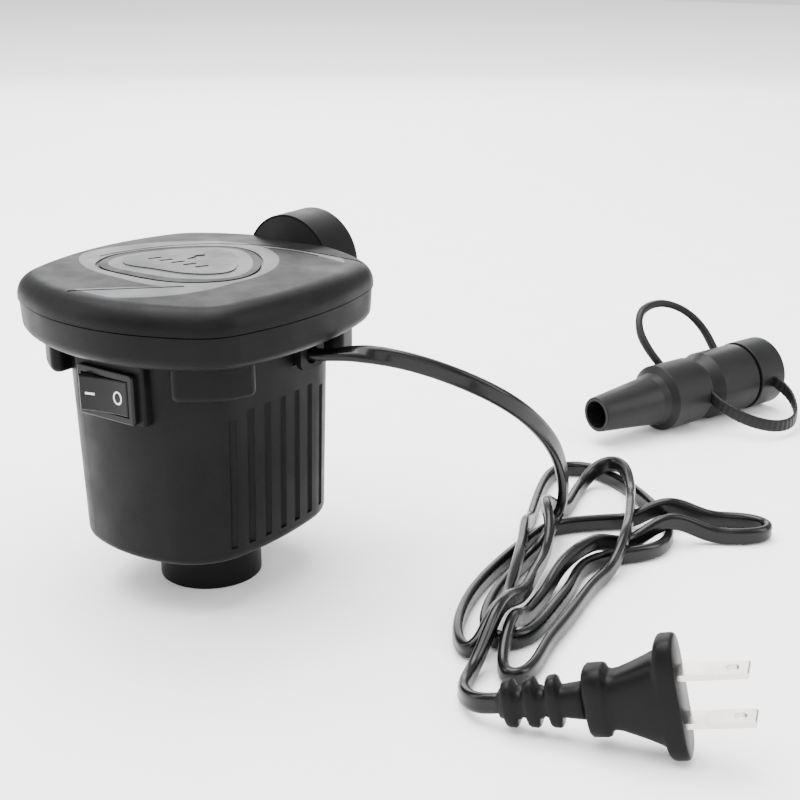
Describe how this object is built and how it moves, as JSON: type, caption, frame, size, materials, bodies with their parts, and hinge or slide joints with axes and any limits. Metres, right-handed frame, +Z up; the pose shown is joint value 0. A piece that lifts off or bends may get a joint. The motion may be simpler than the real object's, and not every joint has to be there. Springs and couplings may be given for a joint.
{
  "type": "electric air pump",
  "caption": "Electric air mattress pump with a fluted housing, side outlet, bottom intake, rocker switch, corded plug and a nested set of tethered nozzles.",
  "frame": {"origin": "centre of the intake port's end face, which the pump stands on", "axes": "+Z up along the motor shaft, +Y out of the outlet port, -Y the rocker switch side, +X the side the cord leaves from"},
  "size_m": [0.2261, 0.3006, 0.1042],
  "materials": {
    "black_shell": "fine satin texture, near black",
    "trim_grey": "satin dark grey",
    "emblem_grey": "satin charcoal",
    "switch_black": "gloss black with white marks",
    "inner_plastic": "moulded black",
    "impeller_plastic": "natural white",
    "cord_vinyl": "gloss black vinyl",
    "plug_vinyl": "satin black vinyl",
    "blade_metal": "nickel plated",
    "nozzle_plastic": "fine satin texture, near black",
    "tether_rubber": "satin",
    "steel": "zinc plated",
    "bronze": "sintered bronze",
    "copper_wire": "enamelled copper",
    "magnet": "ferrite",
    "carbon": "carbon",
    "board": "phenolic board",
    "board_parts": "moulded",
    "wire_pvc": "red insulation"
  },
  "bodies": {
    "housing": {"main_housing": "black_shell", "intake_grille": "black_shell", "top_cover": "black_shell", "cover_trim": "trim_grey", "emblem_frame": "trim_grey", "emblem_panel": "emblem_grey", "outlet_port": "black_shell", "fan_plate": "inner_plastic", "scroll_wall": "inner_plastic", "motor_can": "steel", "motor_end_cap": "inner_plastic", "upper_bushing": "bronze", "lower_bushing": "bronze", "field_magnets": "magnet", "carbon_brushes": "carbon", "brush_arms": "bronze", "motor_sleeve": "tether_rubber", "motor_bracket": "inner_plastic", "cover_screws": "steel", "bracket_screws": "steel", "clamp_screws": "steel", "cord_clamp": "inner_plastic", "cord_grommet": "plug_vinyl", "circuit_board": "board", "rectifier_diodes": "switch_black", "filter_capacitor": "board_parts", "switch_body": "switch_black", "switch_terminals": "bronze", "switch_leads": "wire_pvc", "power_cord": "cord_vinyl", "cord_hank": "cord_vinyl", "cord_tail": "cord_vinyl", "strain_relief": "plug_vinyl", "plug_body": "plug_vinyl", "plug_blades": "blade_metal"},
    "rotor": {"motor_shaft": "steel", "armature_core": "steel", "armature_windings": "copper_wire", "commutator": "copper_wire", "impeller": "impeller_plastic", "impeller_clip": "steel"},
    "rocker": {"switch_rocker": "switch_black"},
    "large_nozzle": {"adapter_large": "nozzle_plastic"},
    "medium_nozzle": {"adapter_medium": "nozzle_plastic", "tether_medium": "tether_rubber"},
    "small_nozzle": {"adapter_small": "nozzle_plastic", "tether_small": "tether_rubber"}
  },
  "joints": [
    {"name": "rotor_spin", "type": "hinge", "parent": "housing", "child": "rotor", "pos_m": [0, 0, 0.05], "axis": [0, 0, 1], "continuous": true},
    {"name": "rocker_tilt", "type": "hinge", "parent": "housing", "child": "rocker", "pos_m": [0, -0.0365, 0.0674], "axis": [0, 0, 1], "range_deg": [-18, 0]},
    {"name": "nozzles_lift", "type": "slide", "parent": "housing", "child": "large_nozzle", "axis": [0, 0, 1], "range_m": [0, 0.06]},
    {"name": "medium_nozzle_pull", "type": "slide", "parent": "large_nozzle", "child": "medium_nozzle", "axis": [-0.342, -0.9396, -0.0152], "range_m": [0, 0.02]},
    {"name": "small_nozzle_pull", "type": "slide", "parent": "medium_nozzle", "child": "small_nozzle", "axis": [-0.342, -0.9396, -0.0152], "range_m": [0, 0.02]}
  ]
}
